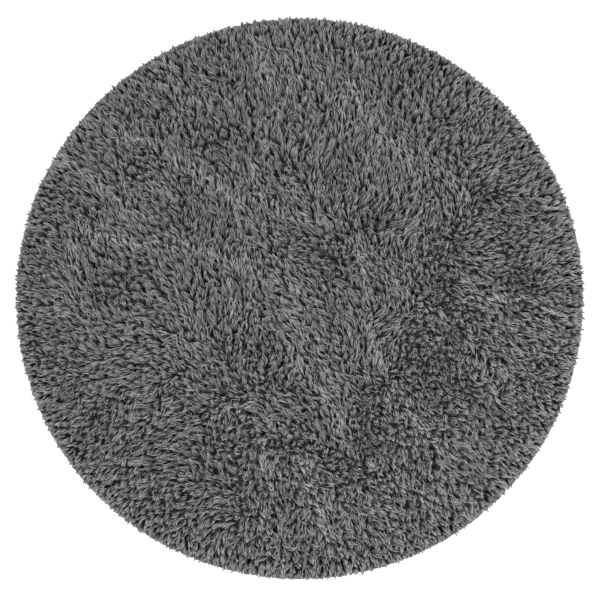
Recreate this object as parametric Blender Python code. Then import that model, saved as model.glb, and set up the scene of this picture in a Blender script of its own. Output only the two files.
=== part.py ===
"""A round shag rug lying flat: a woven backing and a thick pile with pointed locks at its rim.

Metres, +Z up. The origin is the centre of the underside, at floor level.
"""
import math
from collections import namedtuple

import bmesh
import bpy
import numpy as np
from mathutils import Matrix, Vector, geometry, noise

# Driving dimensions
RUG_RADIUS = 0.600  # centre to the tips of the longest rim locks
BACKING_RADIUS = 0.574
BACKING_THICKNESS = 0.003
CLEARANCE = 0.0003  # between the backing and the pile above it
PILE_HEIGHT = 0.045  # floor to the highest tufts

# The coat of tufts
FOOT_COUNT = 750  # points in the valleys between the tufts, short of the rim's own
COAT_RADIUS = 0.564  # where the top of the coat ends and the rim locks begin
VALLEY_HEIGHT = 0.0260  # floor to the valleys between the tufts
RIM_VALLEY_HEIGHT = 0.0215
TUFT_RISE = 0.0150  # from a valley to the tip of a tuft
RIM_TUFT_RISE = 0.0110
RIM_FALL = 0.070  # width of the band in which the coat sinks towards the rim
TUFT_REACH = 0.90  # how far a tip may lean, as a share of the way to the nearest edge of its foot
RIM_MARGIN = 0.020  # between the outermost valley points and the rim's own
VALLEY_WANDER = 0.0080  # how far a valley point strays sideways from an even spread
HEIGHT_WANDER = 0.0026  # how far a valley or a tip strays up or down
CLUMP_SIZE = 0.055  # spacing of the soft clumps that several tufts form together
CLUMP_SWELL = 0.0050  # how far a clump raises or sinks the coat

# The locks at the rim, with shares of the spacing of one tier
LOCKS_PER_TIER = 96
TIER_TWIST = 1 / 3  # each tier is turned this much against the one above it
LOCK_SWAY = 0.22  # sideways lean of a lock's tip
SWAY_WANDER = 0.5  # how far a lock strays from the lean of the pile around it
LOCK_RIDGE = 0.42  # width of a lock's upper side, as a share of its lower side
LOCK_SHORTFALL = 0.006  # metres by which the shortest locks stop inside the rug's radius
EVEN_NEAR_AXES = 2.5  # how soon the locks turn uneven on either side of the X and Y axes

# One row for each tier of rim locks, from the top down. The ring is the lower edge of the tier's
# foot. Belly, neck and tip are the three stations along a lock, with the height of its middle
# above the floor and its thickness there.
Tier = namedtuple("Tier", "ring_radius ring_height belly belly_thick neck neck_thick tip")
TIERS = (
    Tier(0.573, 0.0155, 0.0236, 0.0078, 0.0216, 0.0050, 0.0182),
    Tier(0.578, 0.0095, 0.0134, 0.0066, 0.0120, 0.0046, 0.0094),
    Tier(0.579, BACKING_THICKNESS + CLEARANCE, 0.0034, 0.0068, 0.0023, 0.0046, 0.0),
)

# One row for each station along a lock: its share of the lock's length and of the foot's width.
Station = namedtuple("Station", "along width")
BELLY = Station(0.44, 0.86)
NECK = Station(0.78, 0.50)

# How the pile lies. The coat as a whole leans one way, and turns straight outwards towards the
# rim. Each patch is a spot that lies its own way: east, north and reach are shares of the rug's
# radius, and headings are in degrees anticlockwise from +X.
COAT_HEADING = 128
COAT_HOLD = 0.25  # how firmly the coat keeps its heading against the patches
OUTWARD_FROM, OUTWARD_BY = 0.74, 0.95  # shares of the radius between which it turns outwards
RIM_HOLD = 0.65  # how firmly the band in which the coat sinks leans straight outwards
Patch = namedtuple("Patch", "east north reach heading")
PATCHES = (
    Patch(-0.09, 0.66, 0.15, 92), Patch(0.12, 0.60, 0.12, 76), Patch(0.42, 0.70, 0.10, 92),
    Patch(-0.28, 0.46, 0.12, 90), Patch(0.14, 0.42, 0.10, 73), Patch(0.31, 0.44, 0.10, 95),
    Patch(0.73, 0.44, 0.12, 28), Patch(0.36, 0.27, 0.12, 52), Patch(0.71, 0.26, 0.12, -28),
    Patch(0.62, 0.08, 0.13, -40), Patch(-0.24, -0.03, 0.11, 92), Patch(0.10, 0.00, 0.12, 145),
    Patch(0.70, -0.10, 0.13, -50), Patch(-0.84, -0.15, 0.10, 170), Patch(0.76, -0.26, 0.13, -52),
    Patch(-0.66, -0.29, 0.10, 190), Patch(-0.76, -0.44, 0.12, 230), Patch(0.16, -0.48, 0.10, 120),
    Patch(0.62, -0.48, 0.15, -48), Patch(-0.12, -0.62, 0.09, 272), Patch(0.29, -0.63, 0.08, -65),
    Patch(-0.54, -0.70, 0.14, 228), Patch(0.24, -0.72, 0.10, -48), Patch(0.46, -0.68, 0.15, -55),
)

GOLDEN_ANGLE = math.pi * (3 - math.sqrt(5))  # turn from each point to the next in an even spread
MERGE_DISTANCE = 0.0001  # points nearer than this are one point of the net
FACET_ANGLE = math.radians(50)  # edges sharper than this stay crisp
SEED = 11


def polar(radius, angle, height):
    """The point at a distance and direction from the rug's axis."""
    return Vector((radius * math.cos(angle), radius * math.sin(angle), height))


def flat_length(point):
    """A point's distance from the rug's axis."""
    return math.hypot(point.x, point.y)


def smooth(share):
    """Zero up to a share of 0, one from a share of 1, and an even rise between them."""
    share = min(max(share, 0.0), 1.0)
    return share * share * (3 - 2 * share)


def rim_share(radius):
    """How far into the sinking band at the rim a distance from the centre lies, from 0 to 1."""
    return smooth((radius - (COAT_RADIUS - RIM_FALL)) / RIM_FALL)


def mix(start, end, share):
    """The value a share of the way from start to end."""
    return start + (end - start) * share


def towards(heading):
    """The flat direction of a heading in degrees."""
    return Vector((math.cos(math.radians(heading)), math.sin(math.radians(heading))))


def pile_lean(point):
    """The flat direction in which the pile leans at a point, no longer than 1."""
    place = point.xy / RUG_RADIUS
    outward = place.normalized()
    turned = smooth((place.length - OUTWARD_FROM) / (OUTWARD_BY - OUTWARD_FROM))
    lean = towards(COAT_HEADING).lerp(outward, turned) * COAT_HOLD
    total = COAT_HOLD
    for patch in PATCHES:
        away = place - Vector((patch.east, patch.north))
        weight = math.exp(-away.length_squared / patch.reach**2)
        lean += towards(patch.heading) * weight
        total += weight
    return (lean / total).lerp(outward, RIM_HOLD * rim_share(flat_length(point)))


def coat_swell(point):
    """How far the soft clumps raise or sink the coat at a point."""
    swell = CLUMP_SWELL * noise.noise(Vector((point.x, point.y, 0)) / CLUMP_SIZE)
    return swell * (1 - rim_share(flat_length(point)))


def scatter_valley_points(random):
    """Spread points evenly over the coat, each a little astray, and set the rim's own around them."""
    points = []
    for place in range(FOOT_COUNT):
        radius = (COAT_RADIUS - RIM_MARGIN) * math.sqrt((place + 0.5) / FOOT_COUNT)
        stray = Vector(random.uniform(-VALLEY_WANDER, VALLEY_WANDER, 2))
        point = polar(radius, GOLDEN_ANGLE * place, 0).xy + stray
        points.append(point * min(1.0, (COAT_RADIUS - RIM_MARGIN) / point.length))
    for place in range(LOCKS_PER_TIER):
        points.append(polar(COAT_RADIUS, math.tau * place / LOCKS_PER_TIER, 0).xy)
    return points


def lay_tuft_net(shape, random):
    """Lay the round net of triangles that the tufts stand on, and return its triangles."""
    places, _, triangles, *_ = geometry.delaunay_2d_cdt(
        scatter_valley_points(random), [], [], 0, MERGE_DISTANCE)
    points = [shape.verts.new(place.to_3d()) for place in places]
    for corners in triangles:
        shape.faces.new([points[corner] for corner in corners])
    for point in points:
        if point.is_boundary:
            point.co.z = RIM_VALLEY_HEIGHT
            continue
        point.co.z = mix(VALLEY_HEIGHT, RIM_VALLEY_HEIGHT, rim_share(flat_length(point.co)))
        point.co.z += coat_swell(point.co) + random.uniform(-HEIGHT_WANDER, HEIGHT_WANDER)
    return shape.faces[:]


def hang_rim_tiers(shape):
    """Run the net's rim down to the backing in twisted rings, and return each tier's faces."""
    tier_faces = []
    rim = [edge for edge in shape.edges if edge.is_boundary]
    for tier in TIERS:
        made = bmesh.ops.extrude_edge_only(shape, edges=rim)["geom"]
        tier_faces.append([item for item in made if isinstance(item, bmesh.types.BMFace)])
        rim = [item for item in made if isinstance(item, bmesh.types.BMEdge) and item.is_boundary]
        for point in {end for edge in rim for end in edge.verts}:
            angle = math.atan2(point.co.y, point.co.x) + TIER_TWIST * math.tau / LOCKS_PER_TIER
            point.co = polar(tier.ring_radius, angle, tier.ring_height)
    bmesh.ops.edgeloop_fill(shape, edges=rim)
    return tier_faces


def raise_tufts(shape, net, random):
    """Raise every triangle of the net into a tuft that leans the way the pile lies."""
    for tip in bmesh.ops.poke(shape, faces=net)["verts"]:
        feet = [edge.other_vert(tip).co for edge in tip.link_edges]
        sides = [(feet[i] - feet[i - 1]).length for i in range(3)]
        edge_distance = (feet[1] - feet[0]).cross(feet[2] - feet[0]).length / (3 * max(sides))
        lean = pile_lean(tip.co) * TUFT_REACH * edge_distance
        rise = mix(TUFT_RISE, RIM_TUFT_RISE, rim_share(flat_length(tip.co)))
        rise += random.uniform(-HEIGHT_WANDER, HEIGHT_WANDER)
        tip.co += Vector((lean.x, lean.y, rise))
        tip.co.z = min(tip.co.z, PILE_HEIGHT)


def shape_section(face, middle, across, width, thick):
    """Make a lock's end face upright, of the given width and thickness and narrower at its top."""
    by_height = sorted(face.verts, key=lambda corner: corner.co.z)
    lower = (by_height[:2], -thick / 2, width / 2)
    upper = (by_height[2:], thick / 2, width / 2 * LOCK_RIDGE)
    for corners, lift, reach in (lower, upper):
        left, right = sorted(corners, key=lambda corner: corner.co.dot(across))
        left.co = middle - across * reach + Vector((0, 0, lift))
        right.co = middle + across * reach + Vector((0, 0, lift))


def place_round_rim(foot):
    """A rim face's place anticlockwise from +X, counted in the turn from one tier to the next."""
    middle = foot.calc_center_median()
    turn = TIER_TWIST * math.tau / LOCKS_PER_TIER
    return round(math.atan2(middle.y, middle.x) / turn) % round(math.tau / turn)


def lock_unevenness(angle):
    """Zero for a lock on the X or Y axis, rising to 1 between them, so the rug stays centred."""
    return min(EVEN_NEAR_AXES * abs(math.sin(2 * angle)), 1.0)


def draw_out_lock(shape, foot, tier, random):
    """Draw one face of a tier out into a four-sided lock that ends in a point."""
    spacing = math.tau / LOCKS_PER_TIER
    root = foot.calc_center_median()
    root_radius = flat_length(root)
    root_angle = math.atan2(root.y, root.x)
    uneven = lock_unevenness(root_angle)
    sideways = Vector((-math.sin(root_angle), math.cos(root_angle), 0))
    sway = pile_lean(root).to_3d().dot(sideways) + random.uniform(-SWAY_WANDER, SWAY_WANDER)
    tip_angle = root_angle + sway * LOCK_SWAY * spacing * uneven
    tip_radius = RUG_RADIUS - random.uniform(0.0, LOCK_SHORTFALL) * uneven
    stations = ((BELLY, tier.belly, tier.belly_thick), (NECK, tier.neck, tier.neck_thick))
    end = foot
    for station, height, thick in stations:
        end = bmesh.ops.extrude_discrete_faces(shape, faces=[end])["faces"][0]
        angle = mix(root_angle, tip_angle, station.along)
        middle = polar(mix(root_radius, tip_radius, station.along), angle, height)
        across = Vector((-math.sin(angle), math.cos(angle), 0))
        shape_section(end, middle, across, station.width * spacing * root_radius, thick)
    tip = bmesh.ops.poke(shape, faces=[end])["verts"][0]
    tip.co = polar(tip_radius, tip_angle, tier.tip)


def make_material(name, colour, roughness):
    """A plain cloth finish."""
    material = bpy.data.materials.new(name)
    material.use_nodes = True
    surface = material.node_tree.nodes["Principled BSDF"]
    surface.inputs["Base Color"].default_value = (*colour, 1.0)
    surface.inputs["Roughness"].default_value = roughness
    surface.inputs["Metallic"].default_value = 0.0
    return material


def finish_object(name, shape, material, collection):
    """Turn a finished shape into a named object with its material."""
    bmesh.ops.recalc_face_normals(shape, faces=shape.faces[:])
    mesh = bpy.data.meshes.new(name)
    shape.to_mesh(mesh)
    shape.free()
    mesh.materials.append(material)
    mesh.shade_smooth()
    mesh.set_sharp_from_angle(angle=FACET_ANGLE)
    made = bpy.data.objects.new(name, mesh)
    collection.objects.link(made)
    return made


def make_backing(collection):
    """The round of backing cloth, flat on the floor."""
    shape = bmesh.new()
    middle = Matrix.Translation((0, 0, BACKING_THICKNESS / 2))
    bmesh.ops.create_cone(shape, cap_ends=True, segments=LOCKS_PER_TIER, radius1=BACKING_RADIUS,
                          radius2=BACKING_RADIUS, depth=BACKING_THICKNESS, matrix=middle)
    cloth = make_material("backing_cloth", (0.120, 0.114, 0.110), 0.95)
    return finish_object("backing", shape, cloth, collection)


def make_pile(collection):
    """The coat of tufts with its three tiers of rim locks, as one closed solid."""
    random = np.random.default_rng(SEED)
    shape = bmesh.new()
    net = lay_tuft_net(shape, random)
    tier_faces = hang_rim_tiers(shape)
    raise_tufts(shape, net, random)
    for tier, feet in zip(TIERS, tier_faces):
        for foot in sorted(feet, key=place_round_rim):
            draw_out_lock(shape, foot, tier, random)
    yarn = make_material("grey_pile", (0.145, 0.138, 0.137), 0.9)
    return finish_object("pile", shape, yarn, collection)


def main():
    for old in list(bpy.data.objects):
        bpy.data.objects.remove(old, do_unlink=True)
    collection = bpy.data.collections.new("shag_rug")
    bpy.context.scene.collection.children.link(collection)
    make_backing(collection)
    make_pile(collection)


main()
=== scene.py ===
import math

import bmesh
import bpy
import numpy as np
from mathutils import Matrix, Vector, kdtree, noise


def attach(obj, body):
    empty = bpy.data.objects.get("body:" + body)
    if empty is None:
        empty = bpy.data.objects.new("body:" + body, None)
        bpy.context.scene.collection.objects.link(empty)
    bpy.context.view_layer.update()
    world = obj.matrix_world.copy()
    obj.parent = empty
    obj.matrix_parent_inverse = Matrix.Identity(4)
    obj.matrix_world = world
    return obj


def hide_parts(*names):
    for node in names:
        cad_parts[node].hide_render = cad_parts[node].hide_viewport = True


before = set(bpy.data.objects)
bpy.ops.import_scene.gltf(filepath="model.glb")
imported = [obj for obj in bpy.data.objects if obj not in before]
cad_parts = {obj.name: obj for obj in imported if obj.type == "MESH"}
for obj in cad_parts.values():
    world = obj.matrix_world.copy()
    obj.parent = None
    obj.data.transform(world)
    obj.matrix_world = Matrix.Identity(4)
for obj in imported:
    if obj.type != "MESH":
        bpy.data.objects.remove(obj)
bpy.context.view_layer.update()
scene = bpy.context.scene

# The rug as a whole, in metres. The sizes are those of the solids.
rug = {
    "radius": 0.600,  # centre to the longest rim locks
    "backingRadius": 0.574,
    "backingThickness": 0.003,
    "coatRadius": 0.564,  # where the top of the coat turns down into the rim
    "rimFall": 0.070,  # width of the band that sinks towards the rim
    "seed": 11,
}
sliver = 1e-9  # keeps a length that is divided by away from nothing


class Value:
    # a node's output that can be used in plain sums
    def __init__(self, shader, socket):
        self.shader = shader
        self.socket = socket

    def join(self, operation, first, second):
        return self.shader.node("ShaderNodeMath", {"operation": operation}, {0: first, 1: second})

    def __add__(self, other):
        return self.join("ADD", self, other)

    def __sub__(self, other):
        return self.join("SUBTRACT", self, other)

    def __mul__(self, other):
        return self.join("MULTIPLY", self, other)

    def __truediv__(self, other):
        return self.join("DIVIDE", self, other)

    def __radd__(self, other):
        return self.join("ADD", other, self)

    def __rsub__(self, other):
        return self.join("SUBTRACT", other, self)


class Shader:
    # one material's nodes
    def __init__(self, name):
        self.material = bpy.data.materials.new(name)
        self.material.use_nodes = True
        self.tree = self.material.node_tree
        self.surface = self.tree.nodes["Principled BSDF"]

    def plug(self, socket, value):
        if isinstance(value, Value):
            self.tree.links.new(value.socket, socket)
        else:
            socket.default_value = value

    def node(self, kind, settings=None, inputs=None, output=0):
        made = self.tree.nodes.new(kind)
        for name, setting in (settings or {}).items():
            if name == "stops":  # a colour ramp's places and colours
                self.setStops(made.color_ramp, setting)
            else:
                setattr(made, name, setting)
        for name, value in (inputs or {}).items():
            self.plug(made.inputs[name], value)
        return Value(self, made.outputs[output])

    def setStops(self, ramp, stops):
        while len(ramp.elements) < len(stops):
            ramp.elements.new(1.0)
        for element, (place, colour) in zip(ramp.elements, stops):
            element.position = place
            element.color = (*colour, 1.0)

    def wave(self, value):
        return self.node("ShaderNodeMath", {"operation": "SINE"}, {0: value}) * 0.5 + 0.5

    def blendColours(self, share, first, second):
        settings = {"data_type": "RGBA"}
        return self.node("ShaderNodeMix", settings, {0: share, 6: first, 7: second}, output=2)

    def finish(self, colour, roughness, height, bumpBy, constants):
        distance, strength = bumpBy
        bump = self.node("ShaderNodeBump", {}, {
            "Height": height, "Distance": distance, "Strength": strength})
        self.plug(self.surface.inputs["Base Color"], colour)
        self.plug(self.surface.inputs["Roughness"], roughness)
        self.plug(self.surface.inputs["Normal"], bump)
        for name, value in constants.items():
            self.surface.inputs[name].default_value = value
        return self.material


# The backing cloth, whose colours are those of its threads and of the painted shade in the gaps
# between them.
backing = {
    "segments": 192,
    "edgeRound": 0.0008,
    "edgeSegments": 3,
    "sharpAngle": 50,  # degrees, past which its edge stays crisp
    "threadPitch": 0.0022,  # from one thread of the weave to the next
    "threadColour": (0.125, 0.118, 0.115, 1.0),
    "gapShadeColour": (0.045, 0.043, 0.042, 1.0),
    "wornColour": (0.170, 0.160, 0.154, 1.0),
    "wornShare": 0.35,  # how far the worn colour shows where it shows most
    "wornScale": 9.0,  # worn patches to a metre
    "fluffScale": 900.0,  # fibres of fluff to a metre
    "fluffShare": 0.25,  # how much the fluff shows against the weave
    "weaveShare": 0.8,
    "roughness": (0.98, 0.12),  # in the gaps, and how much less on the threads
    "bump": (0.0005, 0.7),  # distance and strength
    "finish": {"Sheen Weight": 0.10, "Sheen Roughness": 0.6, "Specular IOR Level": 0.25},
}


def makeBackingCloth():
    shader = Shader("backingCloth")
    place = shader.node("ShaderNodeTexCoord", {}, {}, output=3)
    worn = shader.node(
        "ShaderNodeTexNoise", {}, {"Vector": place, "Scale": backing["wornScale"], "Detail": 3.0})
    fluff = shader.node(
        "ShaderNodeTexNoise", {}, {"Vector": place, "Scale": backing["fluffScale"], "Detail": 2.0})
    axes = [shader.node("ShaderNodeSeparateXYZ", {}, {0: place}, output=axis) for axis in (0, 1)]
    turns = [axis * (math.tau / backing["threadPitch"] / 2) for axis in axes]
    over = shader.wave(turns[0] + turns[1]) * shader.wave(turns[0] - turns[1])
    under = shader.wave(turns[0] + turns[1] + math.pi) * shader.wave(turns[0] - turns[1] + math.pi)
    threads = (over + under) * backing["weaveShare"] + fluff * backing["fluffShare"]
    # painted shade in the gaps between the threads
    colour = shader.blendColours(threads, backing["gapShadeColour"], backing["threadColour"])
    colour = shader.blendColours(worn * backing["wornShare"], colour, backing["wornColour"])
    inGaps, less = backing["roughness"]
    return shader.finish(colour, inGaps - threads * less, threads, backing["bump"], backing["finish"])


def makeBacking():
    shape = bmesh.new()
    middle = Matrix.Translation((0, 0, rug["backingThickness"] / 2))
    bmesh.ops.create_cone(
        shape, cap_ends=True, segments=backing["segments"], radius1=rug["backingRadius"],
        radius2=rug["backingRadius"], depth=rug["backingThickness"], matrix=middle)
    caps = [face for face in shape.faces if len(face.verts) == backing["segments"]]
    rims = [edge for edge in shape.edges if set(edge.link_faces) & set(caps)]
    bmesh.ops.bevel(
        shape, geom=rims, offset=backing["edgeRound"], affect="EDGES",
        segments=backing["edgeSegments"], profile=0.5, material=-1)
    mesh = bpy.data.meshes.new("backingRound")
    shape.to_mesh(mesh)
    shape.free()
    mesh.shade_smooth()
    mesh.set_sharp_from_angle(angle=math.radians(backing["sharpAngle"]))
    mesh.materials.append(makeBackingCloth())
    made = bpy.data.objects.new("backingRound", mesh)
    scene.collection.objects.link(made)
    return made


# How the pile lies.
lay = {
    "heading": 128,  # degrees anticlockwise from +X, where no patch below says otherwise
    "hold": 0.12,  # how firmly the coat keeps it against the patches
    "sharpness": 1.7,  # how suddenly one patch gives way to the next
    "outwardFrom": (0.74, 0.95),  # shares of the radius between which it turns straight outwards
    "rimHold": 0.65,  # how firmly the sinking band leans straight outwards
    # each patch of tufts that lies its own way: east, north and reach as shares of the rug's
    # radius, and its heading
    "patches": (
        (-0.09, 0.66, 0.15, 92), (0.12, 0.60, 0.12, 76), (0.42, 0.70, 0.10, 92),
        (0.50, 0.60, 0.07, 15), (-0.30, 0.52, 0.14, 108), (0.14, 0.42, 0.10, 73),
        (0.31, 0.44, 0.10, 95), (0.73, 0.44, 0.12, 28), (-0.32, 0.28, 0.09, 90),
        (0.22, 0.31, 0.07, 58), (0.36, 0.27, 0.12, 52), (0.55, 0.30, 0.06, 96),
        (0.71, 0.26, 0.12, -46), (-0.74, 0.14, 0.09, 105), (-0.60, 0.33, 0.12, 144),
        (-0.27, 0.12, 0.09, 92), (-0.46, 0.02, 0.10, 146), (-0.66, -0.03, 0.09, 116),
        (-0.10, 0.12, 0.07, 142), (0.03, 0.16, 0.07, 174), (0.62, 0.08, 0.13, -48),
        (0.85, 0.14, 0.08, 28), (-0.24, -0.03, 0.11, 92), (-0.35, -0.11, 0.07, 132),
        (0.10, 0.00, 0.12, 145), (0.70, -0.10, 0.13, -54), (0.88, -0.12, 0.09, -60),
        (-0.84, -0.15, 0.10, 170), (-0.53, -0.16, 0.09, 156), (-0.17, -0.20, 0.08, 94),
        (0.28, -0.13, 0.06, 15), (0.22, -0.20, 0.06, 78), (0.44, -0.12, 0.08, -44),
        (0.57, -0.19, 0.08, -80), (0.76, -0.26, 0.13, -56), (0.80, -0.36, 0.10, -62),
        (-0.67, -0.29, 0.07, 205), (-0.55, -0.34, 0.11, 226), (-0.07, -0.28, 0.06, 72),
        (0.25, -0.29, 0.07, 100), (0.37, -0.38, 0.12, -66), (0.62, -0.33, 0.10, -86),
        (-0.76, -0.44, 0.12, 235), (-0.62, -0.46, 0.10, 250), (-0.50, -0.46, 0.11, 228),
        (-0.37, -0.46, 0.05, 190), (-0.24, -0.45, 0.08, 240), (-0.03, -0.46, 0.09, 147),
        (0.16, -0.48, 0.10, 120), (0.32, -0.50, 0.09, -65), (0.60, -0.47, 0.16, -52),
        (-0.36, -0.59, 0.07, 150), (-0.12, -0.62, 0.09, 280), (0.04, -0.62, 0.09, -58),
        (0.29, -0.63, 0.08, -65), (-0.54, -0.66, 0.14, 236), (-0.33, -0.76, 0.09, 222),
        (-0.08, -0.78, 0.10, 284), (0.11, -0.76, 0.10, -64), (0.24, -0.72, 0.10, -48),
        (0.46, -0.66, 0.15, -50), (0.04, -0.90, 0.12, -62),
    ),
    "wander": 0.55,  # how far slow drift turns the lean
    "wanderSize": 0.070,
    "least": 0.25,  # no part of the coat leans less than this
    "furrowLength": 0.090,  # the coat falls into furrows that run the way it leans
    "furrowWidth": 0.0095,
    "furrowSteps": 13,  # places along a furrow where the drift is read
    "furrowGain": 4.5,
    "furrowLimit": 1.5,
    "furrowCalm": 0.8,  # how much of them a ridge or a hollow takes away
    "ridgeWidth": 0.0100,
    "hollowLean": 0.42,  # how much more upright the pile stands in a hollow
    # the ridges in the coat, raised and painted lighter as if lit, each from one end to the other:
    # east, north, east, north as shares of the rug's radius, and how strong it is
    "ridges": (
        (-0.77, 0.61, -0.52, 0.52, 0.9), (-0.52, 0.52, -0.37, 0.43, 1.0),
        (-0.37, 0.43, -0.20, 0.31, 1.0), (-0.52, 0.75, -0.35, 0.67, 0.8),
        (-0.35, 0.67, -0.24, 0.68, 0.6), (0.17, 0.74, 0.25, 0.61, 1.0),
        (0.25, 0.61, 0.34, 0.50, 0.9), (0.34, 0.50, 0.42, 0.39, 0.8),
        (0.49, 0.43, 0.57, 0.35, 0.9), (0.57, 0.35, 0.64, 0.24, 0.7),
        (-0.17, 0.44, -0.14, 0.33, 1.0), (-0.14, 0.33, -0.05, 0.26, 0.9),
        (-0.05, 0.26, 0.10, 0.24, 0.8), (-0.40, 0.17, -0.24, 0.11, 1.0),
        (-0.24, 0.11, -0.12, 0.05, 0.6), (-0.12, 0.05, 0.06, -0.03, 0.7),
        (0.19, 0.19, 0.21, 0.08, 0.9), (0.21, 0.08, 0.25, -0.17, 0.7),
        (0.25, -0.17, 0.31, -0.34, 1.0), (0.31, -0.34, 0.46, -0.54, 0.9),
        (0.31, 0.03, 0.44, -0.08, 0.7), (0.44, -0.08, 0.57, -0.12, 0.8),
        (0.57, -0.12, 0.72, -0.34, 0.6), (0.53, -0.04, 0.77, -0.04, 0.8),
        (0.77, -0.04, 0.93, -0.10, 1.0), (0.78, 0.34, 0.92, 0.30, 0.8),
        (-0.07, -0.08, 0.06, -0.17, 0.8), (-0.05, -0.17, 0.02, -0.30, 0.9),
        (0.02, -0.30, 0.16, -0.46, 0.9), (-0.88, 0.50, -0.63, 0.32, 0.9),
        (-0.76, 0.22, -0.55, 0.16, 0.9), (-0.95, 0.00, -0.82, -0.09, 0.7),
        (-0.66, -0.06, -0.45, -0.16, 0.6), (-0.31, -0.45, -0.16, -0.39, 0.8),
        (-0.15, -0.48, -0.10, -0.68, 0.7), (0.00, -0.58, 0.10, -0.86, 0.7),
        (0.30, -0.58, 0.42, -0.74, 0.6), (-0.18, 0.92, -0.10, 0.76, 0.8),
    ),
    # the hollows between them, sunk and painted darker as shade: east, north and reach as shares of
    # the radius, and strength
    "hollows": (
        (-0.30, 0.52, 0.08, 1.0), (-0.57, 0.43, 0.07, 0.8), (-0.06, 0.44, 0.06, 0.6),
        (0.23, 0.24, 0.06, 1.0), (0.12, 0.14, 0.08, 0.8), (0.49, 0.60, 0.08, 0.6),
        (0.40, 0.78, 0.10, 0.6), (0.70, 0.02, 0.08, 0.6), (0.80, 0.00, 0.06, 0.6),
        (-0.16, -0.36, 0.06, 1.0), (0.23, -0.50, 0.05, 1.0), (0.41, -0.20, 0.08, 0.5),
        (0.50, -0.34, 0.08, 0.5), (-0.63, 0.02, 0.10, 0.9), (-0.44, -0.74, 0.08, 1.0),
        (-0.86, 0.32, 0.07, 0.8), (0.75, 0.46, 0.08, 0.4), (0.62, 0.26, 0.08, 0.4),
        (-0.33, 0.02, 0.08, 0.5), (-0.22, -0.20, 0.08, 0.6), (-0.70, -0.46, 0.08, 0.5),
        (-0.80, -0.20, 0.08, 0.6), (0.82, -0.22, 0.07, 0.4), (-0.26, -0.56, 0.07, 0.6),
        (-0.45, 0.30, 0.06, 0.5), (-0.47, 0.62, 0.06, 0.6),
    ),
}


def smoothShare(value):
    share = np.clip(value, 0.0, 1.0)
    return share * share * (3 - 2 * share)


def mix(start, end, share):
    return start + (end - start) * share


# where each kind of slow drift is read, so that no two are alike
driftPlaces = {
    "clump": 3.0,
    "lean": 5.0,
    "fineClump": 8.0,
    "swell": 21.0,
    "tone": 31.0,
    "furrow": 61.0,
}
driftSlant = (1.0, 0.7, 1.3)  # the line on which those places lie


def lookUp(points, size, kind):
    # slow random drift, three numbers from -1 to 1 for each point
    shift = Vector([driftPlaces[kind] * part for part in driftSlant])
    return np.array([noise.noise_vector(Vector((x, y, 0)) / size + shift) for x, y in points])


def unit(vectors):
    return vectors / np.maximum(np.linalg.norm(vectors, axis=-1, keepdims=True), sliver)


def heading(angle):
    return np.stack((np.cos(angle), np.sin(angle)), axis=-1)


def sideways(flat):
    # level, and a quarter turn to the left of each direction
    return np.column_stack((-flat[:, 1], flat[:, 0], np.zeros(len(flat))))


def relief(points):
    # 1 on the crest of a ridge, -1 in a hollow and 0 elsewhere
    places = points / rug["radius"]
    width = lay["ridgeWidth"] / rug["radius"]
    risen = np.zeros(len(points))
    for east, north, lastEast, lastNorth, strength in lay["ridges"]:
        start, line = np.array((east, north)), np.array((lastEast - east, lastNorth - north))
        along = np.clip((places - start) @ line / (line @ line), 0.0, 1.0)
        away = ((places - start - along[:, None] * line) ** 2).sum(1)
        risen = np.maximum(risen, strength * np.exp(-away / width ** 2))
    sunk = np.zeros(len(points))
    for east, north, reach, strength in lay["hollows"]:
        away = ((places - (east, north)) ** 2).sum(1)
        sunk = np.maximum(sunk, strength * np.exp(-away / reach ** 2))
    return risen - sunk * (1 - risen)


def pileLean(points):
    # the flat direction in which the pile leans, no longer than 1, and how near the rim it is
    places = points / rug["radius"]
    distance = np.linalg.norm(points, axis=1)
    rim = smoothShare((distance - rug["coatRadius"] + rug["rimFall"]) / rug["rimFall"])
    inner, outer = lay["outwardFrom"]
    turned = smoothShare((distance / rug["radius"] - inner) / (outer - inner))[:, None]
    lean = mix(heading(math.radians(lay["heading"])), unit(places), turned) * lay["hold"]
    total = np.full(len(points), lay["hold"])
    for east, north, reach, turn in lay["patches"]:
        weight = np.exp(-lay["sharpness"] * ((places - (east, north)) ** 2).sum(1) / reach ** 2)
        lean += np.outer(weight, heading(math.radians(turn)))
        total += weight
    lean = lean / total[:, None]
    lean = lean + lookUp(points, lay["wanderSize"], "lean")[:, :2] * lay["wander"]
    amount = np.linalg.norm(lean, axis=1, keepdims=True)
    upright = np.clip(-relief(points), 0.0, 1.0) * lay["hollowLean"]
    lean = unit(lean) * (np.clip(amount, lay["least"], 1.0) * (1 - upright)[:, None])
    return mix(lean, unit(places), (rim * lay["rimHold"])[:, None]), rim


def findFurrows(points, lean, risen):
    # how high each place stands between the furrows, about -1 to 1, from drift that is smoothed
    # along the lean
    way = unit(lean)
    steps = np.linspace(-0.5, 0.5, lay["furrowSteps"]) * lay["furrowLength"]
    total = sum(lookUp(points + way * step, lay["furrowWidth"], "furrow")[:, 0] for step in steps)
    deep = np.clip(total / len(steps) * lay["furrowGain"], -lay["furrowLimit"], lay["furrowLimit"])
    return deep * (1 - lay["furrowCalm"] * np.abs(risen))
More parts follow.
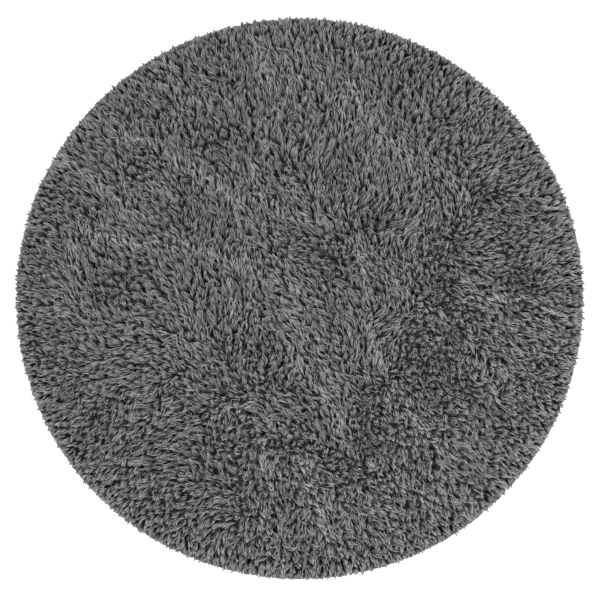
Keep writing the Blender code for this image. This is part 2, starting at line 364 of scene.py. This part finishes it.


# The yarn, with its colours from the root of a strand to its tip: painted shade that deepens towards
# the root, where the pile shades it, and painted light at the tip.
yarn = {
    # painted shade: the root and depth colours darken a strand where it lies deep in the pile
    "rootColour": (0.009, 0.0058, 0.0052),
    "depthColour": (0.034, 0.0266, 0.0256),
    "bodyColour": (0.156, 0.1446, 0.1455),
    # painted light: the tip colour is lighter where the tips catch the light
    "tipColour": (0.284, 0.2800, 0.2818),
    "toneSpread": 0.54,  # how far strands differ from each other
    "rimShare": 0.12,  # how much of the shading towards the root is left out at the rim
    "finish": {"Sheen Weight": 0.07, "Sheen Roughness": 0.45, "Specular IOR Level": 0.06},
    "aroundShare": 0.006,  # share of the tone scale that one turn round a strand covers
    "stops": (0.00, 0.40, 0.70, 0.97),  # where along a strand the four colours lie
    "twists": 13,  # light and dark places along one strand
    "twistsAround": 1.6,  # and round it
    "twistGlintTone": 1.20,  # how much they differ, as painted glints and shade along the twisted fibres
    "roughness": (0.88, 0.2),  # of the dark places, and how much less in the light ones
    "bump": (0.0004, 0.6),  # distance and strength
}


def makeGreyYarn():
    shader = Shader("greyYarn")
    along = shader.node("ShaderNodeUVMap", {"uv_map": "OFBake"})
    tone, share = [
        shader.node("ShaderNodeSeparateXYZ", {}, {0: along}, output=axis) for axis in (0, 1)]
    around = tone / yarn["aroundShare"] * yarn["twistsAround"]
    fibrePlace = shader.node(
        "ShaderNodeCombineXYZ", {}, {0: around, 1: share * yarn["twists"], 2: 0.0})
    fibres = shader.node(
        "ShaderNodeTexNoise", {}, {"Vector": fibrePlace, "Scale": 1.0, "Detail": 3.0})
    colours = [yarn[part + "Colour"] for part in ("root", "depth", "body", "tip")]
    stops = list(zip(yarn["stops"], colours))
    # painted shade towards the root and painted light at the tip, by the place along the strand
    colour = shader.node("ShaderNodeValToRGB", {"stops": stops}, {0: share})
    strength = (1 - yarn["toneSpread"]) + tone * (2 * yarn["toneSpread"])
    # painted glints and shade along the strand's twisted fibres
    strength = strength + (fibres - 0.5) * yarn["twistGlintTone"]
    colour = shader.node(
        "ShaderNodeVectorMath", {"operation": "SCALE"}, {0: colour, "Scale": strength})
    dark, less = yarn["roughness"]
    return shader.finish(colour, dark - fibres * less, fibres, yarn["bump"], yarn["finish"])


# One strand of yarn, thick in the body of a lock and thin where it strays at a lock's sides.
strand = {
    "sides": 3,
    "flatness": 0.60,  # thickness as a share of the width
    "widthSpread": (0.75, 1.25),  # of single strands, as shares of the usual width
    "body": {
        "stations": ((0.00, 0.80), (0.42, 1.00), (0.74, 0.78)),  # shares of the length and width
        "halfWidth": 0.00198,
        "slots": (-0.13, 0.13),  # where a lock's strands lie across it, from -0.5 to 0.5
        "slotSpread": 0.05,
        "endSpread": 0.0010,  # how far their ends stray
        "cup": 0.0,  # how far the outer ones stand up from the lock
        "paintedHighlight": 0.0,
        "toneSpread": 0.05,
    },
    "stray": {
        "stations": ((0.00, 0.85), (0.64, 1.00)),
        "halfWidth": 0.00070,
        "slots": (-0.36, 0.36),
        "slotSpread": 0.12,
        "endSpread": 0.0046,
        "cup": 0.0025,
        # painted highlight: stray strands are painted lighter, as thin lines catching the light
        "paintedHighlight": 0.72,
        "toneSpread": 0.16,
    },
}


def makeStrandTemplate(stations):
    # one straight strand along Z, a metre long and a metre in radius, from which all are bent
    shape = bmesh.new()
    (start, startWidth), (second, secondWidth) = stations[:2]
    bmesh.ops.create_cone(
        shape, cap_ends=True, segments=strand["sides"], radius1=startWidth, radius2=secondWidth,
        depth=second - start, matrix=Matrix.Translation((0, 0, (start + second) / 2)))
    end = max(shape.faces, key=lambda face: face.calc_center_median().z)
    for share, width in stations[2:]:
        before = (end.verts[0].co.xy).length
        end = bmesh.ops.extrude_discrete_faces(shape, faces=[end])["faces"][0]
        for corner in end.verts:
            corner.co = Vector((*(corner.co.xy * width / before), share))
    tip = bmesh.ops.poke(shape, faces=[end])["verts"][0]
    tip.co = (0, 0, 1)
    bmesh.ops.recalc_face_normals(shape, faces=shape.faces[:])
    bmesh.ops.triangulate(shape, faces=shape.faces[:])
    shape.verts.index_update()
    places = np.array([corner.co[:] for corner in shape.verts])
    faces = np.array([[corner.index for corner in face.verts] for face in shape.faces])
    shape.free()
    return places, faces


def wrapShares(places, faces):
    # how far round the strand each face's corners lie, from 0 to 1 and a little past it
    around = np.arctan2(places[:, 1], places[:, 0]) / math.tau % 1.0
    shares = around[faces]
    past = shares.max(1, keepdims=True) - shares > 0.5
    shares = shares + past
    pointed = np.isclose(places[faces][:, :, 2], 1.0)
    others = np.where(pointed, 0.0, shares).sum(1) / np.maximum((~pointed).sum(1), 1)
    return np.where(pointed, others[:, None], shares)


pile = {
    "tuftCount": 6800,  # pointed tufts, each of which gathers the locks near it
    "tuftWander": 0.0058,
    "tuftHold": (0.60, 0.50),  # how far a lock's tip is drawn to its tuft's, coat and edge
    "tuftDrop": 0.45,  # how much lower a lock ends for each metre that it stands off the middle
    "lockCount": 16400,
    "lockWander": 0.0030,
    "lockHeadingSpread": 18,
    "lockHeightSpread": 0.0022,
    "rootRadius": 0.572,  # how far out the outermost locks are rooted
    "rootHeight": 0.0022,  # inside the backing cloth
    "rootBehind": (0.55, 1.00),  # share of its reach behind a lock's place, in the coat and the edge
    "reachSpread": (0.9, 1.1),
    "length": (0.036, 0.062),  # the shortest and longest tuft, straight from root to tip
    "coatHeight": 0.0385,  # where most tips lie
    "rimHeight": 0.0310,
    "heightSpread": 0.0024,
    "highest": 0.0490,
    "leanRange": (8, 36),  # degrees from upright, in a whorl and where the pile lies over
    "leanSpread": 5,
    "leanLimits": (0.05, 1.2),  # radians from upright
    "swell": 0.0018,  # how far slow clumps raise or sink the coat
    "swellSize": 0.055,
    "furrowDepth": 0.0050,
    # painted shade: how much darker the yarn is painted down in a furrow and lighter between furrows
    "furrowPaintedShade": 0.22,
    "ridgeHeight": 0.0040,
    "hollowDepth": 0.0042,
    "ridgePaintedLight": 0.25,  # painted light and shade: how much lighter the yarn is painted on a ridge and darker in a hollow
    "hollowPaintedShade": 0.03,
    "ridgeShare": 0.34,  # how much less of its painted shade towards the root shows on a ridge and more in a hollow
    "hollowShare": 0.17,
    "uprightShare": 0.20,  # and where the pile stands upright
    "hollowHold": 0.36,  # how much more firmly a hollow's tufts are gathered
    "headingSpread": (24, 15),  # degrees, in a whorl and where the pile lies over
    "curl": 0.0018,  # how far a lock bows sideways
    "edgeCurl": 0.5,  # how much less one at the edge does
    "clumpPull": 0.0018,  # how far neighbouring tufts are drawn together
    "clumpSize": 0.026,
    "fineClumpSize": 0.012,
    "fineClumpShare": 0.5,
    "edgeClump": 0.75,  # how much less they are at the edge
    "bendPlace": (0.34, 0.60),  # how far along its way a lock's curve is drawn up, coat and edge
    "bendHeight": 0.66,  # how high in the coat, as a share of the lock's height
    "bendPull": 0.4,
    "edgeBand": 0.045,  # width of the band whose locks turn down towards the floor
    "edgeHold": 0.60,  # how firmly they point straight outwards
    "archHeight": (0.024, 0.034),  # how high their curves are drawn
    "steepest": 0.99,  # how far past the edge's own curve a tip may lie
    "tipRadius": 0.6005,
    "edgeRow": 0.0105,  # tufts as near the edge as this stand in one row along it
    "tipRadiusSpread": 0.0040,
    "tipPoint": 0.75,  # how much further in a lock ends for each metre it stands off the middle
    "lowestTip": 0.0045,
    "lowestTipSpread": (0.7, 1.6),
    "rimLockCount": 1450,  # the locks under them, which fall over the edge and close it
    "rimLockBand": 0.016,  # width of the band that these are rooted in
    "rimLockWander": 0.6,  # share of the way from one to the next
    "rimArchRadius": (0.5910, 0.5965),
    "rimArchHeight": (0.018, 0.030),
    "rimTipRadius": (0.5870, 0.5915),
    "rimTipHeight": (0.0015, 0.0085),
    "rimHeadingSpread": 5,
    # painted shade: how much darker the locks that close the edge are painted, lying under the edge
    # locks
    "rimLockShade": -0.22,
    "rootSpread": 0.0020,  # width of a lock at its root, its belly and its tip
    "bellySpread": 0.0042,
    "tipSpread": (0.0004, 0.0100),  # in the coat and in the locks that close the edge
    "lockWidthSpread": (0.75, 1.25),
    "sideSpread": 0.12,  # how far the strands of a lock turn from its side
    "liftSpread": 0.0008,
    "shortest": 0.10,  # how far the outermost strands stop short of the lock's end
    "shortSpread": 0.10,
    "closingShort": 0.8,  # how much of that the locks that close the edge leave out
    "edgeStray": 0.6,  # how much less strands stray at the edge
    "floor": 0.0004,  # no strand is lower
    "tone": 0.150,  # of most locks, from 0 to 1
    "lightAndShadeDrift": 0.04,  # painted light and shade: how far slow drift makes the yarn lighter or darker
    "toneSize": 0.032,
    "paintedLightSlope": (0.03, -0.07),  # painted light: how much lighter it is painted at the right and the top of the picture, as light falls across the pile
    "tuftTone": 0.06,  # how far tufts and locks differ in tone
    "lockTone": 0.05,
    "toneLimits": (0.02, 0.98),
    "shownLimits": (0.01, 0.99),
    "bands": ("Heart", "Middle", "Rim"),
}


def keepWithin(places, radius):
    distance = np.linalg.norm(places, axis=1)
    return places * np.minimum(1.0, radius / np.maximum(distance, sliver))[:, None]


def spreadEvenly(count, wander, random):
    # an even place for each tuft or lock, from the centre outwards, each a golden angle on
    order = np.arange(count)
    distance = pile["tipRadius"] * np.sqrt((order + 0.5) / count)
    places = heading(order * math.pi * (3 - math.sqrt(5))) * distance[:, None]
    return keepWithin(places + random.uniform(-wander, wander, places.shape), pile["tipRadius"])


def raiseTo(places, heights):
    return np.column_stack((places, np.broadcast_to(heights, len(places))))


def byRelief(risen, ridgeKey, hollowKey):
    # what ridges and hollows add
    return np.where(risen > 0, pile[ridgeKey], pile[hollowKey]) * risen


def findTufts(places, tufts):
    # which tuft each lock belongs to
    tree = kdtree.KDTree(len(tufts))
    for index, tuft in enumerate(tufts):
        tree.insert((*tuft, 0.0), index)
    tree.balance()
    return np.array([tree.find((*place, 0.0))[1] for place in places])


def layTufts(random):
    # where the tufts stand, the way each leans, its reach and height and how far it leans
    places = spreadEvenly(pile["tuftCount"], pile["tuftWander"], random)
    distance = np.linalg.norm(places, axis=1)
    outermost = distance > pile["tipRadius"] - pile["edgeRow"]
    places[outermost] *= (pile["tipRadius"] / distance[outermost])[:, None]
    lean, rim = pileLean(places)
    count = len(places)
    amount = np.linalg.norm(lean, axis=1)
    turn = np.arctan2(lean[:, 1], lean[:, 0])
    turn = turn + random.normal(0, 1, count) * np.radians(mix(*pile["headingSpread"], amount))
    upright, laid = (math.radians(angle) for angle in pile["leanRange"])
    tilt = mix(upright, laid, amount) + random.normal(0, math.radians(pile["leanSpread"]), count)
    swell = lookUp(places, pile["swellSize"], "swell")[:, 0] * pile["swell"]
    height = mix(pile["coatHeight"] + swell, pile["rimHeight"], rim)
    over = np.tan(tilt) * pile["coatHeight"] * (1 - pile["rootBehind"][0])
    risen = relief(places + heading(turn) * over[:, None])  # where the tuft's tip lies
    height = height + byRelief(risen, "ridgeHeight", "hollowDepth")
    height = height + findFurrows(places, lean, risen) * pile["furrowDepth"]
    height = height + random.normal(0, pile["heightSpread"], count)
    reach = height * np.tan(np.clip(tilt, *pile["leanLimits"]))
    length = np.hypot(height, reach)
    fitted = np.clip(length, *pile["length"])
    return places, turn, reach * fitted / length, height * fitted / length, amount


def nearEdge(distance):
    # 0 in the coat and 1 at the rug's edge, where the locks turn down
    return (distance - pile["tipRadius"] + pile["edgeBand"]) / pile["edgeBand"]


def layCoatLocks(random):
    # each lock's root, the bend and end of its curve, its side, its tone and how much of its painted
    # shade towards the root is left out
    tufts, tuftTurn, tuftReach, tuftHeight, over = layTufts(random)
    places = spreadEvenly(pile["lockCount"], pile["lockWander"], random)
    count = len(places)
    owner = findTufts(places, tufts)
    edge = smoothShare(nearEdge(np.linalg.norm(places, axis=1)))
    behind = mix(*pile["rootBehind"], edge)[:, None]
    turn = tuftTurn[owner] + random.normal(0, math.radians(pile["lockHeadingSpread"]), count)
    flat = unit(mix(heading(turn), unit(places), edge[:, None] * pile["edgeHold"]))
    side = sideways(flat)
    reach = (tuftReach[owner] * random.uniform(*pile["reachSpread"], count))[:, None]
    offMiddle = np.linalg.norm(places - tufts[owner], axis=1)
    height = tuftHeight[owner] - offMiddle * pile["tuftDrop"]
    height = np.minimum(height + random.normal(0, pile["lockHeightSpread"], count), pile["highest"])

    # each lock's tip is drawn to its tuft's, and the tufts' to each other
    roots = keepWithin(places - flat * reach * behind, pile["rootRadius"])
    sunk = np.clip(-relief(places), 0.0, 1.0) * pile["hollowHold"]
    gathered = mix(places, tufts[owner], (mix(*pile["tuftHold"], edge) + sunk)[:, None])
    ends = gathered + flat * reach * (1 - behind)
    drift = lookUp(ends, pile["clumpSize"], "clump")
    drift += lookUp(ends, pile["fineClumpSize"], "fineClump") * pile["fineClumpShare"]
    pull = drift[:, :2] * (pile["clumpPull"] * (1 - pile["edgeClump"] * edge))[:, None]
    limit = pile["tipRadius"] - random.random(len(tufts))[owner] * pile["tipRadiusSpread"]
    ends = keepWithin(ends + pull, limit - offMiddle * pile["tipPoint"])

    # near the edge they turn outwards and down, over the locks that close it
    down = np.clip(nearEdge(np.linalg.norm(ends, axis=1)), 0.0, pile["steepest"])
    low = pile["lowestTip"] * random.uniform(*pile["lowestTipSpread"], count)
    endHeight = mix(low, height, np.sqrt(1 - down ** 2))
    bends = mix(roots, ends, mix(*pile["bendPlace"], edge)[:, None]) + pull * pile["bendPull"]
    arch = random.uniform(*pile["archHeight"], count)
    bend = raiseTo(bends, mix(height * pile["bendHeight"], arch, edge))
    bow = random.normal(0, pile["curl"], count) * (1 - pile["edgeCurl"] * edge)
    bend += side * bow[:, None]

    # their tones, with painted light on ridges and painted shade in hollows and furrows, and how much
    # of their painted shade towards the root is left out
    risen = relief(ends)
    furrow = findFurrows(ends, pileLean(ends)[0], risen)
    # painted shade in the furrows and painted light between them, on random tuft tones
    tone = random.normal(0, pile["tuftTone"], len(tufts))[owner] + furrow * pile["furrowPaintedShade"]
    tone += byRelief(risen, "ridgePaintedLight", "hollowPaintedShade")
    shown = edge * yarn["rimShare"] + (1 - over)[owner] * pile["uprightShare"]
    shown += byRelief(risen, "ridgeShare", "hollowShare")
    start = raiseTo(roots, pile["rootHeight"])
    return start, bend, raiseTo(ends, endHeight), side, tone, shown


def layRimLocks(random):
    # the same for the locks that fall over the edge, side by side all the way round
    count = pile["rimLockCount"]
    turn = (np.arange(count) + random.random(count) * pile["rimLockWander"]) * (math.tau / count)
    distance = pile["rootRadius"] - random.random(count) * pile["rimLockBand"]
    twist = random.normal(0, math.radians(pile["rimHeadingSpread"]), count)
    flat = heading(turn + twist)
    roots = heading(turn) * distance[:, None]
    parts = []
    for radius, height in (("rimArchRadius", "rimArchHeight"), ("rimTipRadius", "rimTipHeight")):
        reach = random.uniform(*pile[radius], count) - distance
        parts.append(raiseTo(roots + flat * reach[:, None], random.uniform(*pile[height], count)))
    # painted shade on the locks that close the edge
    tone, shown = (np.full(count, value) for value in (pile["rimLockShade"], yarn["rimShare"]))
    return raiseTo(roots, pile["rootHeight"]), *parts, sideways(flat), tone, shown


def splitLocks(start, bend, end, side, closing, kind, random):
    # one kind of strands of each lock, side by side, drawn together at the tip
    count, each = len(start), len(kind["slots"])
    slot = np.array(kind["slots"]) + random.normal(0, kind["slotSpread"], (count, each))
    outer = np.clip(np.abs(slot) * 2, 0, 1)
    side = unit(side[:, None, :] + random.normal(0, pile["sideSpread"], (count, each, 3)))
    lockWidth = random.uniform(*pile["lockWidthSpread"], (count, 1, 1))
    across = side * slot[:, :, None] * lockWidth
    starts = start[:, None, :] + across * pile["rootSpread"]
    bends = bend[:, None, :] + across * (2 * pile["bellySpread"] - pile["rootSpread"])
    bends[:, :, 2] += random.normal(0, pile["liftSpread"], (count, each)) + kind["cup"] * outer
    short = pile["shortest"] * outer ** 1.5 + random.uniform(0, pile["shortSpread"], (count, each))
    short *= (1 - pile["closingShort"] * closing)[:, None]
    ends = end[:, None, :] + across * mix(*pile["tipSpread"], closing)[:, None, None]
    ends = bends + (ends - bends) * (1 - short)[:, :, None]
    near = np.clip(nearEdge(np.linalg.norm(end[:, :2], axis=1)), 0.0, 1.0)
    calm = (1 - pile["edgeStray"] * near)[:, None, None]
    ends = ends + random.normal(0, kind["endSpread"], ends.shape) * calm
    ends[:, :, 2] = np.minimum(ends[:, :, 2], pile["highest"])
    return [part.reshape(-1, 3) for part in (starts, bends, ends, side)]


def keepInside(points):
    # the pile stays inside the rug's radius and above the floor
    distance = np.linalg.norm(points[..., :2], axis=-1, keepdims=True)
    points[..., :2] *= np.minimum(1.0, rug["radius"] / np.maximum(distance, sliver))
    points[..., 2] = np.maximum(points[..., 2], pile["floor"])
    return points


def bendStrands(places, starts, bends, ends, sides, widths):
    # copy the straight strand along every curve
    share = places[:, 2][None, :, None]
    centre = (
        (1 - share) ** 2 * starts[:, None] + 2 * share * (1 - share) * bends[:, None]
        + share ** 2 * ends[:, None])
    along = (1 - share) * (bends - starts)[:, None] + share * (ends - bends)[:, None]
    along /= np.linalg.norm(along, axis=2, keepdims=True)
    across = sides[:, None] - (sides[:, None] * along).sum(2, keepdims=True) * along
    across /= np.linalg.norm(across, axis=2, keepdims=True)
    through = np.cross(along, across)
    width = widths[:, None, None]
    outward = across * places[:, 0][None, :, None] * width
    outward += through * places[:, 1][None, :, None] * width * strand["flatness"]
    return keepInside(centre + outward)


def joinStrands(name, corners, faces, shares, places, tones, exposed):
    # one mesh of many strands, with the tone of each and its place along the strand, which sets its
    # painted shade towards the root, in its UV map
    count, each = corners.shape[:2]
    triangles = faces[None] + (np.arange(count) * each)[:, None, None]
    mesh = bpy.data.meshes.new(name)
    mesh.vertices.add(count * each)
    mesh.vertices.foreach_set("co", corners.astype(np.float32).ravel())
    mesh.loops.add(triangles.size)
    mesh.loops.foreach_set("vertex_index", triangles.astype(np.int32).ravel())
    mesh.polygons.add(triangles.size // 3)
    mesh.polygons.foreach_set("loop_start", np.arange(0, triangles.size, 3, dtype=np.int32))
    mesh.polygons.foreach_set("use_smooth", np.ones(triangles.size // 3, dtype=bool))
    around = tones[:, None, None] + shares[None] * yarn["aroundShare"]
    # painted shade: v runs from root to tip, moved towards the tip where more of a strand is left
    # unshaded
    hidden = 1 - places[faces][:, :, 2]
    along = np.clip(1 - hidden[None] * (1 - exposed[:, None, None]), *pile["shownLimits"])
    layer = mesh.uv_layers.new(name="OFBake")
    layer.data.foreach_set("uv", np.stack((around, along), axis=-1).astype(np.float32).ravel())
    mesh.update(calc_edges=True)
    mesh.validate()
    return mesh


def makePile(material):
    random = np.random.default_rng(rug["seed"])
    noise.seed_set(rug["seed"])  # the drift is the same in every run
    coat = layCoatLocks(random)
    closing = layRimLocks(random)
    start, bend, end, side, tone, shown = (np.concatenate(parts) for parts in zip(coat, closing))
    under = np.arange(len(start)) >= len(coat[0])  # the locks that close the edge
    # painted light and shade, drifting slowly and sloping across the rug
    drift = lookUp(end[:, :2], pile["toneSize"], "tone")[:, 0] * pile["lightAndShadeDrift"]
    drift += end[:, :2] @ np.array(pile["paintedLightSlope"]) / rug["radius"]
    lockTone = pile["tone"] + drift + tone + random.normal(0, pile["lockTone"], len(start))
    bandSize = len(start) // len(pile["bands"]) + 1
    pieces = []
    for kindName in ("body", "stray"):
        kind = strand[kindName]
        places, faces = makeStrandTemplate(kind["stations"])
        shares = wrapShares(places, faces)
        starts, bends, ends, sides = splitLocks(start, bend, end, side, under * 1.0, kind, random)
        each = len(kind["slots"])
        count = len(starts)
        widths = kind["halfWidth"] * random.uniform(*strand["widthSpread"], count)
        # painted highlight on the stray strands
        tones = np.repeat(lockTone, each) + random.normal(kind["paintedHighlight"], kind["toneSpread"], count)
        tones = np.clip(tones, *pile["toneLimits"])
        exposed = np.repeat(shown, each)
        for band, name in enumerate(pile["bands"]):
            part = slice(band * bandSize * each, min((band + 1) * bandSize, len(start)) * each)
            corners = bendStrands(
                places, starts[part], bends[part], ends[part], sides[part], widths[part])
            mesh = joinStrands(
                kindName + name, corners, faces, shares, places, tones[part], exposed[part])
            mesh.materials.append(material)
            made = bpy.data.objects.new(mesh.name, mesh)
            scene.collection.objects.link(made)
            pieces.append(made)
            print(mesh.name, len(mesh.polygons), "triangles")
    return pieces


# Floor, light and camera.
studio = {
    "floorColour": (0.86, 0.86, 0.86, 1.0),
    "floorRoughness": 0.9,
    "floorGap": 0.0005,  # the floor lies this far under the rug
    "floorReach": 30,  # from the middle to its sides
    "skyStrength": 0.25,
    "lampTurns": (135, 45, -45, -135),  # degrees anticlockwise from +X
    "lampPowers": (192, 212, 278, 222),
    "lampAway": 4.0,
    "lampHeight": 3.3,
    "lampSize": 1.5,
    "lens": 85,
    "elevation": 81.5,  # of the camera above the floor, which stands on the -Y side
    "aim": (0.0004, -0.0202, 0.016),  # the point that it looks at
    "distance": 2.944,  # from the camera to that point
}


def makeFloor():
    shape = bmesh.new()
    level = Matrix.Translation((0, 0, -studio["floorGap"]))
    bmesh.ops.create_grid(
        shape, x_segments=1, y_segments=1, size=studio["floorReach"], matrix=level)
    mesh = bpy.data.meshes.new("studioFloor")
    shape.to_mesh(mesh)
    shape.free()
    shader = Shader("paleFloor")
    shader.surface.inputs["Base Color"].default_value = studio["floorColour"]
    shader.surface.inputs["Roughness"].default_value = studio["floorRoughness"]
    mesh.materials.append(shader.material)
    floor = bpy.data.objects.new("studioFloor", mesh)
    scene.collection.objects.link(floor)


def makeLight():
    world = bpy.data.worlds.new("softStudio")
    world.use_nodes = True
    sky = world.node_tree.nodes["Background"]
    sky.inputs["Color"].default_value = (1, 1, 1, 1)
    sky.inputs["Strength"].default_value = studio["skyStrength"]
    scene.world = world
    for turn, power in zip(studio["lampTurns"], studio["lampPowers"]):
        lamp = bpy.data.lights.new("softLamp", "AREA")
        lamp.shape = "DISK"
        lamp.size = studio["lampSize"]
        lamp.energy = power
        hung = bpy.data.objects.new("softLamp", lamp)
        hung.location = (*heading(math.radians(turn)) * studio["lampAway"], studio["lampHeight"])
        hung.rotation_euler = (-hung.location).to_track_quat("-Z", "Y").to_euler()
        scene.collection.objects.link(hung)


def makeCamera():
    lens = bpy.data.cameras.new("camera")
    lens.lens = studio["lens"]
    camera = bpy.data.objects.new("camera", lens)
    tilt = math.radians(studio["elevation"])
    away = Vector((0, -math.cos(tilt), math.sin(tilt))) * studio["distance"]
    camera.location = Vector(studio["aim"]) + away
    camera.rotation_euler = (-away).to_track_quat("-Z", "Y").to_euler()
    scene.collection.objects.link(camera)
    scene.camera = camera
    scene.view_settings.view_transform = "Standard"


print("backing cloth")
backingRound = makeBacking()
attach(backingRound, "root")
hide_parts("backing")

print("pile")
pilePieces = makePile(makeGreyYarn())
for piece in pilePieces:
    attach(piece, "root")
    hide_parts("pile")

print("studio")
makeFloor()
makeLight()
makeCamera()
